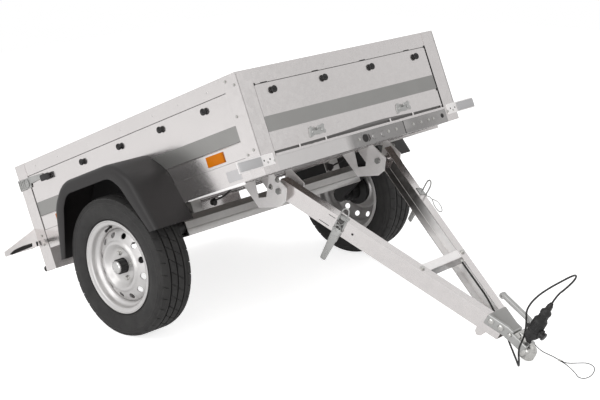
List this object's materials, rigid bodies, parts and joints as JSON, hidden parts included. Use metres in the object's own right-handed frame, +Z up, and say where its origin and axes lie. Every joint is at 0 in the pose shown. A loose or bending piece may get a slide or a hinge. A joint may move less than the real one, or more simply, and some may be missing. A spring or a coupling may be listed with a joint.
{
  "type": "single-axle tipping utility trailer",
  "caption": "Small galvanised utility trailer with a low open bed tipped back on its wheels, mudguards, and a folding V drawbar resting on its coupler.",
  "frame": {"origin": "on the ground under the middle of the trailer's box, as it stands parked", "axes": "+X forwards to the coupler, +Y to the trailer's left, +Z up"},
  "size_m": [2.4774, 1.487, 1.0429],
  "materials": {
    "galvanised_panel": "galvanised sheet, satin, with a faint spangle",
    "galvanised_steel": "hot-dip galvanised, satin",
    "zinc_pressing": "zinc-plated pressing",
    "bright_steel": "bright zinc",
    "silver_rim": "silver paint, semi-gloss",
    "tyre_rubber": "matt black rubber",
    "black_rubber": "matt",
    "black_plastic": "moulded, fine grain",
    "cable_sheath": "satin black sheath",
    "steel_rope": "stranded steel",
    "deck_board": "brown film-faced plywood",
    "amber_lens": "prismatic reflector",
    "white_lens": "prismatic reflector",
    "red_lens": "lamp lens"
  },
  "bodies": {
    "bed": {"axle_beam": "galvanised_steel", "axle_seats": "galvanised_steel", "cross_members": "galvanised_steel", "deck": "deck_board", "front_beam": "galvanised_steel", "front_panel": "galvanised_panel", "front_posts": "galvanised_steel", "gate_hinges": "galvanised_steel", "gate_latches": "galvanised_steel", "lamp_brackets": "galvanised_steel", "latch_catches": "galvanised_steel", "latch_grips": "black_plastic", "marker_brackets": "galvanised_steel", "marker_faces": "white_lens", "mudguard_left": "black_plastic", "mudguard_right": "black_plastic", "pivot_bolts": "bright_steel", "pivot_brackets": "galvanised_steel", "rear_beam": "galvanised_steel", "rear_lamps": "red_lens", "rear_posts": "galvanised_steel", "rear_sill": "galvanised_steel", "side_panel_left": "galvanised_panel", "side_panel_right": "galvanised_panel", "side_reflectors": "amber_lens", "side_sills": "galvanised_steel", "tail_bumpers": "black_rubber", "tarp_knobs": "black_plastic", "trailing_arm_left": "galvanised_steel", "trailing_arm_right": "galvanised_steel"},
    "wheel_left": {"tyre_left": "tyre_rubber", "rim_left": "silver_rim", "hub_left": "bright_steel", "wheel_bolts_left": "bright_steel"},
    "wheel_right": {"tyre_right": "tyre_rubber", "rim_right": "silver_rim", "hub_right": "bright_steel", "wheel_bolts_right": "bright_steel"},
    "tailgate": {"tailgate": "galvanised_panel", "gate_knuckles": "galvanised_steel", "gate_knobs": "black_plastic"},
    "drawbar": {"arm_latch_left": "galvanised_steel", "arm_latch_right": "galvanised_steel", "breakaway_rope": "steel_rope", "cable_clip": "galvanised_steel", "cable_lead": "cable_sheath", "coupler_housing": "zinc_pressing", "coupler_lever": "zinc_pressing", "drawbar_arm_left": "galvanised_steel", "drawbar_arm_right": "galvanised_steel", "drawbar_crossbar": "galvanised_steel", "drawbar_foot": "galvanised_steel", "plug": "black_plastic", "plug_holder": "black_plastic", "rope_eye": "steel_rope", "rope_ferrule": "bright_steel"}
  },
  "joints": [
    {"name": "wheel_left_spin", "type": "hinge", "parent": "bed", "child": "wheel_left", "pos_m": [-0.30325, 0.6555, 0.2735], "axis": [0, 1, 0], "continuous": true},
    {"name": "wheel_right_spin", "type": "hinge", "parent": "bed", "child": "wheel_right", "pos_m": [-0.30325, -0.6555, 0.2735], "axis": [0, 1, 0], "continuous": true},
    {"name": "drawbar_fold", "type": "hinge", "parent": "bed", "child": "drawbar", "pos_m": [0.19662, 0, 0.56212], "axis": [0, -1, 0], "range_deg": [0, 52.4]},
    {"name": "tailgate_hinge", "type": "hinge", "parent": "bed", "child": "tailgate", "pos_m": [-1.05083, 0, 0.21401], "axis": [0, -1, 0], "range_deg": [0, 110]}
  ]
}
